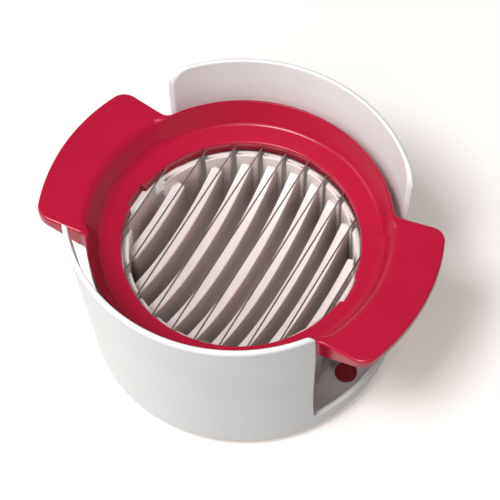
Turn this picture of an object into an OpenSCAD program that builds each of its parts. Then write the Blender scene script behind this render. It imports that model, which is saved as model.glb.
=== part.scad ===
// Round egg slicer: an open cup with a slatted cradle, and a cutter that is
// pushed down over it by two wings. Millimetres, +Z up, the table is z = 0,
// X runs through the two wings and Y runs along the wires.

/* [Cup] */
// Height of the rim above the table
cup_h = 62; // [56:1:80]
// Outer radius at the rim
rim_r = 50; // [48:0.5:60]
// Outer radius of the wall's line where it meets the table
base_r = 45.4; // [44:0.2:48]
// Thickness of the wall
wall = 1.6; // [1.4:0.1:2.4]
// Thickness of the floor
floor_t = 2.5; // [1.8:0.1:3.5]
// Rounding where the wall turns into the floor, outside
edge_r = 4; // [2.6:0.2:6]

/* [Notches] */
// Height of each notch's floor above the table
notch_floor = 10; // [8:0.5:14]
// Room between a wing and the notch's side at the notch's floor
notch_gap = 1.7; // [0.5:0.1:3]
// How much further apart each notch side stands at the rim
notch_spread = 3.4; // [1:0.2:6]
// Rounding of the front wall's top corners beside a notch
notch_top_r = 1.2; // [0.6:0.2:4]
// Rounding of the back wall's top corners beside a notch
notch_back_r = 6; // [1:0.2:7]
// Rounding of the notch's lower corners
notch_low_r = 1.6; // [0.6:0.2:4]

/* [Feet] */
// Height of a rubber foot's pad under the cup
pad_h = 1; // [0.6:0.1:2]
// Radius of a pad
pad_r = 3.5; // [2.4:0.1:5]
// Room between a pad and the cup's rounded edge
pad_inset = 0.3; // [0.1:0.1:4]
// Radius of the stem in the floor
stem_r = 2; // [1:0.1:2.8]
// Radius of the head inside the cup, where the cutter lands
head_r = 3.3; // [3:0.1:4]
// Height of the head above the floor
head_h = 1; // [0.6:0.1:2]
// Room between the heads and the cradle that stands between them
head_room = 0.27; // [0.2:0.01:1]
// Angle of the first foot from the wing axis
foot_turn = -9; // [-25:1:0]

/* [Cutter] */
// Height of the cutter's top edge above the table, partly pressed
frame_z = 49; // [46:0.5:56]
// Depth of the down-turned skirt around the ring
skirt_h = 7; // [4:0.2:8]
// Thickness of the skirt and of the wings' plate
shell_t = 2; // [1.4:0.1:2.6]
// Width of the slope between the top edge and the inner ledge
slope_w = 3.6; // [2.5:0.1:4.6]
// How far the ledge's outer edge lies below the top edge
ledge_drop = 7.4; // [5:0.1:8]
// How far the hole's edge lies below the ledge's outer edge
ledge_fall = 1.4; // [0:0.1:2]
// Thickness of the wall round the hole
bore_t = 2; // [1.5:0.1:2.2]
// Radius of the wings' outer arc
wing_r = 58.4; // [55:0.1:66]
// Half the width of a wing at its tip
wing_half = 24.6; // [18:0.1:26]
// Rounding of a wing's outer corners
wing_corner = 5; // [3:0.5:10]
// Rounding between a wing's flank and the ring
wing_join = 3; // [1:0.5:5]
// Angle by which a wing's flanks spread towards its tip
wing_flare = 5.5; // [0:0.5:8]
// Rise of a wing's top from the ring to its tip
wing_rise = 2; // [0:0.1:4]
// Depth of the down-turned edge at a wing's tip
tip_h = 2.6; // [2.4:0.1:4]

/* [Wires] */
// Distance from the hole's edge to the outermost wire
wire_edge = 2.3; // [2:0.1:3]
// Diameter of a wire
wire_d = 0.5; // [0.4:0.05:0.8]
// How far the wires lie below the hole's edge
wire_drop = 1.6; // [1.4:0.1:2.4]
// Length of a wire's bent end
wire_leg = 2; // [1.2:0.1:2]
// Thickness of the clamp ring under the wires
clamp_t = 2.15; // [2.1:0.05:3]
// Radius of a joining peg under the frame
peg_r = 1; // [0.6:0.1:1.2]

/* [Cradle] */
// Thickness of a fin
fin_t = 3; // [1.4:0.1:3.4]
// Thickness of the disc that carries the fins
disc_t = 2; // [1.4:0.1:2.4]
// Thickness of the wall that joins the fins and guides the cutter
guide_t = 1.8; // [1.2:0.1:2.4]
// Room between that wall and the cutter's hole that slides on it
guide_gap = 0.3; // [0.2:0.05:0.8]
// How far the wall's top lies below the wires
guide_drop = 2.2; // [1:0.1:2.3]
// Width of the slots that the wires drop into
slot_w = 1.3; // [1:0.1:2]
// Height of the egg hollow's lowest point above the table
hollow_z = 23; // [18:0.5:28]
// Radius of the hollow across the fins
hollow_r = 62; // [40:0.5:70]
// Rise of the hollow towards the outermost fins
hollow_rise = 11; // [5:0.5:14]
// Radius of a snap peg under the disc
snap_r = 2; // [1:0.1:3]

/* [Hidden] */
$fn = 96;

cup_colour = [0.95, 0.95, 0.94];
cradle_colour = [0.93, 0.92, 0.91];
cutter_colour = [0.76, 0.08, 0.2];
rubber_colour = [0.5, 0.06, 0.14];
steel_colour = [0.75, 0.76, 0.78];

eps = 0.1;          // overrun of a cut past the face it opens
fit = 0.05;         // radial clearance of a pin, peg or wire in its hole
land_gap = 0.3;     // cutter above the heads at the end of its travel
side_gap = 0.33;    // cutter's skirt to the cup's wall when landed
arc_steps = 6;      // chords in each small rounding
slope_steps = 6;    // chords in the cutter's slope

wire_count = 10;    // one node each in NODES
fin_count = wire_count - 1;

// heights
cup_z = pad_h;                                  // underside of the cup
floor_z = cup_z + floor_t;                      // inside of the floor
head_z = floor_z + head_h;                      // top of the rubber heads
ledge_z = frame_z - ledge_drop;                 // ledge's outer edge
hole_z = ledge_z - ledge_fall;                  // hole's upper edge
wire_z = hole_z - wire_drop;                    // axis of the wires
clamp_top = wire_z - wire_d / 2;                // clamp ring touches the wires
clamp_z = clamp_top - clamp_t;                  // underside of the cutter
under_z = wire_z + wire_d / 2 + fit;            // underside of the ledge
travel = clamp_z - head_z - land_gap;           // way down from this pose
disc_z = floor_z + disc_t;                      // top of the cradle's disc
guide_z = wire_z - guide_drop;                  // top of the cradle's wall

// radii
function cup_r(z) = base_r + (rim_r - base_r) * z / cup_h;
foot_c = cup_r(cup_z + edge_r) - edge_r - pad_inset - pad_r;   // circle of the feet
cradle_r = foot_c - head_r - head_room;         // outside of the cradle's wall
hole_r = cradle_r + guide_gap;                  // hole that the wires cross
ring_r = cup_r(frame_z - skirt_h - travel) - wall - side_gap;
ledge_r = ring_r - slope_w;
bore_r = hole_r + bore_t;                       // outside of the hole's wall
clamp_in = bore_r + 2 * fit;
clamp_out = ledge_r + shell_t / 2;
anchor_r = (clamp_in + clamp_out) / 2;          // circle of the wire ends
wing_in = ledge_r * 0.8;                        // where a wing's outline starts
wing_bend = ring_r - 4;                         // where a wing begins to rise
hole_flat = 4;                                  // half length of the end recess
flat_deep = 0.8;                                // depth of the end recess
snap_c = cradle_r * 0.6;                        // circle of the snap pegs

// wires share the width of the hole evenly
wire_pitch = 2 * (hole_r - wire_edge) / (wire_count - 1);
function wire_x(i) = (i - (wire_count + 1) / 2) * wire_pitch;
function fin_x(i) = (i - (fin_count + 1) / 2) * wire_pitch;
function chord(r, x) = sqrt(r * r - x * x);

// points of an arc about c, from angle a to angle b
function arc(c, r, a, b, n = arc_steps) =
    [for (i = [0:n]) c + r * [cos(a + (b - a) * i / n), sin(a + (b - a) * i / n)]];

// ---- cup ------------------------------------------------------------------

// Profile of the cup to the right of its axis, as a lathe would cut it.
function cup_profile() =
    let (out_r = cup_r(cup_z + edge_r), lip = wall / 2,
         in_r = out_r - wall, in_edge = edge_r - wall / 2)
    concat(
        [[0, cup_z]],
        arc([out_r - edge_r, cup_z + edge_r], edge_r, -90, 0),
        arc([rim_r - lip, cup_h - lip], lip, 0, 180),
        arc([in_r - in_edge, floor_z + in_edge], in_edge, 0, -90),
        [[0, floor_z]]);

// Half outline of a notch, seen along X: wider at the rim, its top rounded by r.
function notch_side(r) =
    let (low = wing_half + notch_gap, top = low + notch_spread,
         lean = atan2(notch_spread, cup_h - notch_floor))
    concat(
        arc([low - notch_low_r, notch_floor + notch_low_r], notch_low_r, -90, -lean),
        arc([top + r, cup_h - r], r, 180 - lean, 90),
        [[top + r, cup_h + 1]]);

module notch_cut() {
    back = notch_side(notch_back_r);
    front = notch_side(notch_top_r);
    outline = concat(back, [for (i = [len(front) - 1:-1:0]) [-front[i][0], front[i][1]]]);
    rotate([90, 0, 90])
        linear_extrude(height = 2.4 * rim_r, center = true)
            polygon(outline);
}

module at_feet() {
    for (i = [0:3])
        rotate([0, 0, foot_turn + 90 * i])
            translate([foot_c, 0, 0])
                children();
}

module at_snaps() {
    for (i = [0:2])
        rotate([0, 0, 90 + 120 * i])
            translate([snap_c, 0, 0])
                children();
}

module cup() {
    color(cup_colour)
        difference() {
            rotate_extrude()
                polygon(cup_profile());
            notch_cut();
            at_feet()
                translate([0, 0, cup_z - eps])
                    cylinder(r = stem_r + fit, h = floor_t + 2 * eps);
            at_snaps()
                translate([0, 0, cup_z - eps])
                    cylinder(r = snap_r + fit, h = floor_t + 2 * eps);
        }
}

// ---- cradle ---------------------------------------------------------------

// The egg hollow: a barrel lying along X, cut out of the fins.
module egg_hollow() {
    end_x = fin_x(fin_count) + wire_pitch;
    bow_r = (end_x * end_x + hollow_rise * hollow_rise) / (2 * hollow_rise);
    n = 8;
    bow = [for (i = [-n:n])
        let (x = end_x * i / n)
        [hollow_r - bow_r + chord(bow_r, x), x]];
    translate([0, 0, hollow_z + hollow_r])
        rotate([0, 90, 0])
            rotate_extrude()
                polygon(concat([[0, -end_x]], bow, [[0, end_x]]));
}

// The fins between the wires, scooped out for the egg.
module fins() {
    difference() {
        intersection() {
            for (i = [1:fin_count])
                translate([fin_x(i) - fin_t / 2, -cradle_r, disc_z - eps])
                    cube([fin_t, 2 * cradle_r, wire_z + guide_t - disc_z]);
            cylinder(r = cradle_r - guide_t / 2, h = 2 * wire_z);
        }
        egg_hollow();
    }
}

module guide_wall() {
    difference() {
        translate([0, 0, floor_z])
            cylinder(r = cradle_r, h = guide_z - floor_z);
        translate([0, 0, disc_z])
            cylinder(r = cradle_r - guide_t, h = guide_z);
    }
}

module cradle() {
    color(cradle_colour) {
        difference() {
            union() {
                guide_wall();
                fins();
            }
            for (i = [1:wire_count])
                translate([wire_x(i) - slot_w / 2, -hole_r, disc_z])
                    cube([slot_w, 2 * hole_r, wire_z]);
        }
        at_snaps()
            translate([0, 0, cup_z + fit])
                cylinder(r = snap_r, h = floor_t + disc_t / 2);
    }
}

// ---- feet -----------------------------------------------------------------

module foot(i) {
    color(rubber_colour)
        rotate([0, 0, foot_turn + 90 * (i - 1)])
            translate([foot_c, 0, 0]) {
                cylinder(r = pad_r, h = pad_h);
                cylinder(r = stem_r, h = head_z);
                translate([0, 0, floor_z])
                    cylinder(r = head_r, h = head_h);
            }
}

// ---- cutter ---------------------------------------------------------------

// Profile of the cutter's ring: skirt, slope, ledge and the hole's wall.
function ring_profile() =
    let (lip = 0.6,
         slope = [for (i = [0:slope_steps])
             let (t = i / slope_steps)
             [ledge_r + (slope_w - 2 * lip) * t,
              ledge_z + (ledge_drop - lip) * (3 * t * t - 2 * t * t * t)]])
    concat(
        [[hole_r, clamp_z], [bore_r, clamp_z], [bore_r, under_z],
         [clamp_out + 2 * fit, under_z],
         [ring_r - lip, frame_z - skirt_h - lip],
         [ring_r, frame_z - skirt_h]],
        arc([ring_r - lip, frame_z - lip], lip, 0, 90),
        [for (i = [slope_steps:-1:0]) slope[i]],
        [[hole_r + lip, hole_z + lip * ledge_fall / 6], [hole_r, hole_z - lip]]);

// Outline of one wing, pulled in by d: spreading flanks and an outer arc. The
// hollow arc at its root touches the flank's line and the ring's circle.
function wing_outline(d) =
    let (half = wing_half - d, r = wing_r - d, c = wing_corner, f = wing_flare,
         cy = half - c, cx = chord(r - c, cy), tip = atan2(cy, cx),
         foot = [cx, cy] + (c + wing_join) * [-sin(f), cos(f)],
         reach = foot * [cos(f), sin(f)],
         back = reach - sqrt(reach * reach - foot * foot + pow(ring_r + wing_join, 2)),
         join = foot - back * [cos(f), sin(f)],
         turn = atan2(join[1], join[0]),
         root = arc(join, wing_join, 270 + f, 180 + turn),
         half_line = concat(
             [for (i = [6:11]) r * [cos(-tip + tip * i / 6), sin(-tip + tip * i / 6)]],
             arc([cx, cy], c, tip, 90 + f),
             root, [[wing_in, wing_in * tan(turn)]]))
    concat([for (i = [len(half_line) - 1:-1:1]) [half_line[i][0], -half_line[i][1]]],
           half_line);

// Height of a wing's top and of its lower edge at a distance x from the axis:
// the top rises evenly, the edge deepens to the ring's skirt in a curve.
function wing_top(x) = frame_z + wing_rise * max(0, x - wing_bend) / (wing_r - wing_bend);
function wing_low(x) =
    let (t = min(1, max(0, (x - wing_bend) / (wing_r - wing_bend))))
    wing_top(x) - tip_h - (skirt_h - tip_h) * (1 - t) * (1 - t);

// Side of a wing, seen along Y, between two height curves.
module wing_side(low, high) {
    rotate([90, 0, 0])
        linear_extrude(height = 3 * wing_half, center = true)
            polygon(concat(low, [for (i = [len(high) - 1:-1:0]) high[i]]));
}

module wing() {
    xs = concat([wing_in - 1], [for (i = [0:8]) wing_bend + (wing_r + 1 - wing_bend) * i / 8]);
    difference() {
        intersection() {
            linear_extrude(height = frame_z + wing_rise + 1)
                polygon(wing_outline(0));
            wing_side([for (x = xs) [x, wing_low(x)]], [for (x = xs) [x, wing_top(x)]]);
        }
        intersection() {
            linear_extrude(height = frame_z + wing_rise + 1)
                polygon(wing_outline(shell_t));
            wing_side([for (x = xs) [x, wing_low(x) - 1]],
                      [for (x = xs) [x, wing_top(x) - shell_t]]);
        }
        translate([0, 0, frame_z - skirt_h - eps])
            cylinder(r = ring_r - shell_t / 2, h = skirt_h + wing_rise);
    }
}

// The joining pegs: at the wings, and midway between two wires.
module at_pegs() {
    side = acos(2 * wire_pitch / anchor_r);
    for (a = [0, side, 180 - side, 180, 180 + side, -side])
        rotate([0, 0, a])
            translate([anchor_r, 0, 0])
                children();
}

module cutter_frame() {
    color(cutter_colour)
        difference() {
            union() {
                rotate_extrude()
                    polygon(ring_profile());
                for (a = [0, 180])
                    rotate([0, 0, a])
                        wing();
                at_pegs()
                    translate([0, 0, clamp_z])
                        cylinder(r = peg_r, h = under_z - clamp_z + eps);
            }
            for (i = [1:wire_count])
                translate([wire_x(i) - wire_d / 2 - fit, -bore_r - fit, clamp_z - eps])
                    cube([wire_d + 2 * fit, 2 * (bore_r + fit), under_z - clamp_z + eps]);
            translate([-hole_r - flat_deep, -hole_flat, clamp_z - eps])
                cube([2 * (hole_r + flat_deep), 2 * hole_flat, frame_z - clamp_z]);
        }
}

module clamp_ring() {
    color(cutter_colour)
        difference() {
            translate([0, 0, clamp_z])
                cylinder(r = clamp_out, h = clamp_t);
            translate([0, 0, clamp_z - eps])
                cylinder(r = clamp_in, h = clamp_t + 2 * eps);
            at_pegs()
                translate([0, 0, clamp_z - eps])
                    cylinder(r = peg_r + fit, h = clamp_t + 2 * eps);
            for (i = [1:wire_count], s = [-1, 1])
                translate([wire_x(i), s * chord(anchor_r, wire_x(i)), wire_z - wire_leg - fit])
                    cylinder(r = wire_d / 2 + fit, h = wire_leg);
        }
}

// Wire i: a straight span with both ends bent down into the clamp ring.
module wire(i) {
    half = chord(anchor_r, wire_x(i));
    color(steel_colour)
        translate([wire_x(i), 0, wire_z]) {
            translate([0, half, 0])
                rotate([90, 0, 0])
                    cylinder(d = wire_d, h = 2 * half, $fn = 24);
            for (s = [-1, 1])
                translate([0, s * half, 0]) {
                    sphere(d = wire_d, $fn = 24);
                    translate([0, 0, -wire_leg])
                        cylinder(d = wire_d, h = wire_leg, $fn = 24);
                }
        }
}

cup();
cradle();
foot(1);  // foot_1
foot(2);  // foot_2
foot(3);  // foot_3
foot(4);  // foot_4
cutter_frame();
clamp_ring();
wire(1);  // wire_01
wire(2);  // wire_02
wire(3);  // wire_03
wire(4);  // wire_04
wire(5);  // wire_05
wire(6);  // wire_06
wire(7);  // wire_07
wire(8);  // wire_08
wire(9);  // wire_09
wire(10);  // wire_10
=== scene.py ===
"""Looks of a round egg slicer: white cup, slatted cradle and a red cutter with wires.

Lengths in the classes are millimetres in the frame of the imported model: the
table is z = 0, X runs through the two wings and Y runs along the wires.
"""

import logging
from dataclasses import dataclass
from enum import Enum
from typing import Any, Optional, Sequence, Union

import bmesh
import bpy
import numpy as np
from mathutils import Matrix

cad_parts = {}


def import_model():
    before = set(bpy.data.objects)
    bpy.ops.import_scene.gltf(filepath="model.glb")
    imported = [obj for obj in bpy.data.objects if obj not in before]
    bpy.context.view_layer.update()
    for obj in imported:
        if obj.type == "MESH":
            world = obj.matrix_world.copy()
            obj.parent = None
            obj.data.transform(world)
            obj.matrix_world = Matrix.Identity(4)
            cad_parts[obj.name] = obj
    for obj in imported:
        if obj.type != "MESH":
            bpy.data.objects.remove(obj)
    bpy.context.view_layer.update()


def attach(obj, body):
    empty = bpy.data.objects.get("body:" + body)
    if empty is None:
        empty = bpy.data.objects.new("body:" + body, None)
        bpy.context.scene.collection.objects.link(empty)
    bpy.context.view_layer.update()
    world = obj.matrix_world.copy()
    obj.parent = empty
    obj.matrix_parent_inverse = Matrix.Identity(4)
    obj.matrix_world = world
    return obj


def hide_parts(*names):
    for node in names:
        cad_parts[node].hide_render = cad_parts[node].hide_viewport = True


LOG = logging.getLogger("egg_slicer")
MM = 0.001
TINY = 1e-9
SEAM = 0.06  # mm from a rounding to the row that keeps the flat beside it level
GAP = 1e-4  # mm; points of a line that are closer than this are one

Array = np.ndarray
Numbers = Union[float, Array]
Pair = tuple[float, float]
Triple = tuple[float, float, float]
Corners = Sequence[Sequence[float]]
Value = Union[float, "Term"]


# ---------------------------------------------------------------- shape helpers


def smooth(t: Array) -> Array:
    """3t^2 - 2t^3 of t held between 0 and 1, a step with level ends."""
    t = np.clip(t, 0.0, 1.0)
    return t * t * (3.0 - 2.0 * t)


def between(ends: Pair, t: Array) -> Array:
    """Even run from the first end at t = 0 to the second at t = 1."""
    return ends[0] + (ends[1] - ends[0]) * t


def arc(centre: Pair, radius: float, start: float, end: float, steps: int) -> Array:
    """Points of a circular arc.

    Formula: centre plus radius times (cosine, sine) of angles spread evenly.

    Args:
        centre: Middle of the circle.
        radius: Radius of the circle.
        start: First angle, in degrees.
        end: Last angle, in degrees.
        steps: Number of chords.

    Returns:
        Array of steps + 1 points.
    """
    angle = np.radians(np.linspace(start, end, steps + 1))
    x = centre[0] + radius * np.cos(angle)
    return np.column_stack((x, centre[1] + radius * np.sin(angle)))


def quarter_turn(count: int) -> Array:
    """Rows (1 - cos a, 1 - sin a) of even angles a from 0 to 90 degrees."""
    angle = np.linspace(0.0, 0.5 * np.pi, count)
    return np.column_stack((1.0 - np.cos(angle), 1.0 - np.sin(angle)))


def rounded(corners: Array, radii: Array, steps: int = 6, hold: float = 0.05) -> Array:
    """Open polylines with every inner corner turned into an arc.

    Formula: a corner that turns by angle p is left at radius * tan(p / 2)
    before the corner and met again as far behind it; the arc turns about the
    point one radius to the inner side. One more point just outside each end of
    the arc keeps the shading of the flats level. An arc takes no more than
    `share` of the shorter side.

    Args:
        corners: Shape (paths, corners, 2).
        radii: Shape (paths, corners); the first and the last are not used.
        steps: Chords in each arc.
        hold: Distance of the extra points from the arc.

    Returns:
        Array of shape (paths, points, 2).
    """
    share, hold_share, least_tan = 0.48, 0.4, 1e-6
    ahead = np.diff(corners, axis=1)
    length = np.linalg.norm(ahead, axis=2, keepdims=True)
    unit = ahead / np.maximum(length, TINY)
    parts = [corners[:, :1]]
    for k in range(1, corners.shape[1] - 1):
        before, after, corner = unit[:, k - 1], unit[:, k], corners[:, k]
        cross = before[:, 0] * after[:, 1] - before[:, 1] * after[:, 0]
        turn = np.arctan2(cross, np.sum(before * after, axis=1))
        room = share * np.minimum(length[:, k - 1, 0], length[:, k, 0])
        half_tan = np.maximum(np.tan(np.abs(turn) / 2.0), least_tan)
        radius = np.minimum(radii[:, k], room / half_tan)
        back = (radius * half_tan)[:, None]
        side = (np.sign(turn) * radius)[:, None]
        across, along = -before[:, 1:], before[:, :1]
        start = corner - back * before
        centre = start + side * np.hstack((across, along))
        step = np.minimum(hold, hold_share * room)[:, None]
        parts.append((start - step * before)[:, None])
        for angle in (turn * j / steps for j in range(steps + 1)):
            c, s = np.cos(angle)[:, None], np.sin(angle)[:, None]
            spun = np.hstack((c * across - s * along, s * across + c * along))
            parts.append((centre - side * spun)[:, None])
        parts.append((corner + (back + step) * after)[:, None])
    parts.append(corners[:, -1:])
    return np.concatenate(parts, axis=1)


def rounded_path(corners: Corners, steps: int = 6, hold: float = 0.05) -> Array:
    """One open polyline from (x, y, radius) corners, with its corners rounded."""
    data = np.array(corners, float)
    return rounded(data[None, :, :2], data[None, :, 2], steps, hold)[0]


def rounded_loop(corners: Corners, steps: int = 5, hold: float = 0.05) -> Array:
    """Closed polyline with every corner rounded.

    Args:
        corners: (x, y, radius) of each corner, anticlockwise.
        steps: Chords in each arc.
        hold: Distance of the extra points from the arc.

    Returns:
        Array of shape (points, 2), closed without a doubled point.
    """
    data = np.array(corners, float)
    path = rounded_path(np.vstack((data[-1:], data, data[:1])), steps, hold)[1:-1]
    gap = np.linalg.norm(path - np.roll(path, 1, axis=0), axis=1)
    return path[gap > GAP]


def loop_normals(loop: Array) -> Array:
    """Unit normals of a closed plane loop that runs anticlockwise, pointing out.

    Formula: the chord from the point before to the point behind, turned by
    -90 degrees.

    Args:
        loop: Shape (points, 2).

    Returns:
        Array of shape (points, 2).
    """
    chord = np.roll(loop, -1, axis=0) - np.roll(loop, 1, axis=0)
    chord = chord / np.maximum(np.linalg.norm(chord, axis=1, keepdims=True), TINY)
    return np.column_stack((chord[:, 1], -chord[:, 0]))


def spin(profile: Array, count: int) -> Array:
    """Grid of a profile turned about Z.

    Formula: the profile's (r, z) goes to (r cos a, r sin a, z) for evenly
    spread angles a.

    Args:
        profile: Shape (points, 2).
        count: Number of columns round the axis.

    Returns:
        Array of shape (points, count, 3).
    """
    angle = np.linspace(0.0, 2.0 * np.pi, count, endpoint=False)
    r, z = profile[:, :1], profile[:, 1:]
    x, y = r * np.cos(angle), r * np.sin(angle)
    return np.stack((x, y, np.broadcast_to(z, x.shape)), axis=-1)


def polar(radius: float, degrees: float) -> Array:
    """Point (x, y, 0) at that radius and angle about Z."""
    angle = np.radians(degrees)
    return radius * np.array([np.cos(angle), np.sin(angle), 0.0])


def capped(grid: Array) -> Array:
    """The grid with its first and last row closed by a pole in their middle."""
    middle = np.broadcast_to(grid.mean(axis=1, keepdims=True), grid.shape)
    return np.concatenate((middle[:1], grid, middle[-1:]))


class Shell:
    """One piece's surface, gathered from grids of points in millimetres."""

    SLIVER = 0.2  # edges shorter than this share of the weld distance vanish

    def __init__(self, name: str) -> None:
        """Starts an empty surface.

        Args:
            name: The piece's name.
        """
        self.name = name
        self._points: list[Array] = []
        self._faces: list[Array] = []
        self._count = 0

    def add(
        self, grid: Array, wrap_rows: bool = False, wrap_columns: bool = True
    ) -> None:
        """Adds a grid of points as quads between neighbouring rows and columns.

        Args:
            grid: Shape (rows, columns, 3).
            wrap_rows: Joins the last row to the first.
            wrap_columns: Joins the last column to the first.
        """
        rows, columns = grid.shape[:2]
        index = np.arange(rows * columns).reshape(rows, columns) + self._count
        if wrap_columns:
            index = np.concatenate((index, index[:, :1]), axis=1)
        if wrap_rows:
            index = np.concatenate((index, index[:1]), axis=0)
        quad = index[:-1, :-1], index[:-1, 1:], index[1:, 1:], index[1:, :-1]
        self._points.append(grid.reshape(-1, 3))
        self._faces.append(np.stack(quad, axis=-1).reshape(-1, 4))
        self._count += rows * columns

    def build(
        self, material: bpy.types.Material, weld: float = 0.002
    ) -> bpy.types.Object:
        """Makes the object: welds seams and poles, turns faces out, shades smooth.

        Args:
            material: The piece's finish.
            weld: Points closer than this, in millimetres, become one.

        Returns:
            The new object, at the origin, in metres.
        """
        mesh = bpy.data.meshes.new(self.name)
        points = np.concatenate(self._points) * MM
        mesh.from_pydata(points.tolist(), [], np.concatenate(self._faces).tolist())
        mesh.update()
        work = bmesh.new()
        work.from_mesh(mesh)
        bmesh.ops.remove_doubles(work, verts=work.verts, dist=weld * MM)
        sliver = self.SLIVER * weld * MM
        bmesh.ops.dissolve_degenerate(work, dist=sliver, edges=work.edges)
        bmesh.ops.recalc_face_normals(work, faces=work.faces)
        work.to_mesh(mesh)
        work.free()
        smooth_faces = np.ones(len(mesh.polygons), dtype=bool)
        mesh.polygons.foreach_set("use_smooth", smooth_faces)
        mesh.materials.append(material)
        mesh.update()
        piece = bpy.data.objects.new(self.name, mesh)
        bpy.context.scene.collection.objects.link(piece)
        return piece


# ------------------------------------------------------------- material helpers


@dataclass(frozen=True)
class Pattern:
    """Noise on Object coordinates: width of its clouds, octaves and stretch."""

    size_mm: float
    detail: float = 2.0
    stretch: Triple = (1.0, 1.0, 1.0)
    roughness: float = 0.55


class Term:
    """A socket in a node tree, on which plain arithmetic adds Math nodes."""

    def __init__(self, tree: "Tree", socket: bpy.types.NodeSocket) -> None:
        """Wraps a socket of that tree."""
        self.tree = tree
        self.socket = socket

    def _math(self, operation: str, first: Value, second: Value) -> "Term":
        """A Math node with that operation on two values."""
        settings = {"operation": operation}
        return self.tree.node("ShaderNodeMath", first, second, settings=settings)

    def __add__(self, other: Value) -> "Term":
        """self + other."""
        return self._math("ADD", self, other)

    def __radd__(self, other: Value) -> "Term":
        """other + self."""
        return self._math("ADD", other, self)

    def __sub__(self, other: Value) -> "Term":
        """self - other."""
        return self._math("SUBTRACT", self, other)

    def __rsub__(self, other: Value) -> "Term":
        """other - self."""
        return self._math("SUBTRACT", other, self)

    def __mul__(self, other: Value) -> "Term":
        """self * other."""
        return self._math("MULTIPLY", self, other)

    def __rmul__(self, other: Value) -> "Term":
        """other * self."""
        return self._math("MULTIPLY", other, self)

    def step(self, low: float, high: float) -> "Term":
        """0 below low, 1 above high, smooth between."""
        settings = {"interpolation_type": "SMOOTHSTEP"}
        return self.tree.node(
            "ShaderNodeMapRange", self, low, high, 0.0, 1.0, settings=settings
        )


class Tree:
    """A material's or the world's node tree, with one way to make any node."""

    def __init__(self, tree: bpy.types.NodeTree) -> None:
        """Empties the tree and keeps it."""
        self.tree = tree
        tree.nodes.clear()

    def node(
        self,
        kind: str,
        *values: Any,
        settings: Optional[dict[str, Any]] = None,
        output: Union[int, str] = 0,
        **named: Any,
    ) -> Term:
        """Makes one node.

        Args:
            kind: Blender's name of the node type.
            values: Numbers, colours or Terms for the inputs, in order; None
                leaves an input alone.
            settings: Properties that are set first.
            output: Which output the Term stands for.
            named: Inputs by name, with spaces as underscores.

        Returns:
            The wrapped output, or the first input of a node without outputs.
        """
        made = self.tree.nodes.new(kind)
        for key, value in (settings or {}).items():
            setattr(made, key, value)
        for number, value in enumerate(values):
            self._put(made.inputs[number], value)
        for key, value in named.items():
            self._put(made.inputs[key.replace("_", " ")], value)
        return Term(self, made.outputs[output] if made.outputs else made.inputs[0])

    def _put(self, socket: bpy.types.NodeSocket, value: Any) -> None:
        """Links a Term to a socket, or sets the socket to a plain value.

        Args:
            socket: Input of a node.
            value: Term, number, colour or vector; None leaves the socket alone.
        """
        if isinstance(value, Term):
            self.tree.links.new(value.socket, socket)
        elif value is not None:
            socket.default_value = value

    def noise(self, pattern: Pattern) -> Term:
        """Noise from 0 to 1 of that pattern."""
        place = self.node("ShaderNodeTexCoord", output="Object")
        return self.node(
            "ShaderNodeTexNoise",
            Vector=self.node("ShaderNodeMapping", place, Scale=pattern.stretch),
            Scale=1.0 / (pattern.size_mm * MM),
            Detail=pattern.detail,
            Roughness=pattern.roughness,
        )

    def mix(self, amount: Value, first: Triple, second: Triple) -> Term:
        """Colour between two colours, whose inputs follow six of other kinds.

        Args:
            amount: 0 for the first colour, 1 for the second.
            first: First colour.
            second: Second colour.

        Returns:
            The wrapped colour.
        """
        settings, skipped = {"data_type": "RGBA"}, [None] * 5
        colours = rgba(first), rgba(second)
        return self.node(
            "ShaderNodeMix", amount, *skipped, *colours, settings=settings, output=2
        )

    def bump(self, height: Term, strength: float, distance_mm: float) -> Term:
        """Normal of a surface raised by height times a distance in millimetres."""
        return self.node(
            "ShaderNodeBump",
            Height=height,
            Strength=strength,
            Distance=distance_mm * MM,
        )


def rgba(colour: Triple) -> tuple[float, float, float, float]:
    """A colour with full opacity."""
    return (*colour, 1.0)


@dataclass(frozen=True)
class Finish:
    """Any finish: a name, and a shader that each kind of finish gives."""

    name: str

    def shader(self, tree: Tree) -> Term:
        """The shader of the surface."""
        raise NotImplementedError

    def make(self) -> bpy.types.Material:
        """Builds the material.

        Returns:
            The new material.
        """
        material = bpy.data.materials.new(self.name)
        material.use_nodes = True
        tree = Tree(material.node_tree)
        tree.node("ShaderNodeOutputMaterial", self.shader(tree))
        return material


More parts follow.
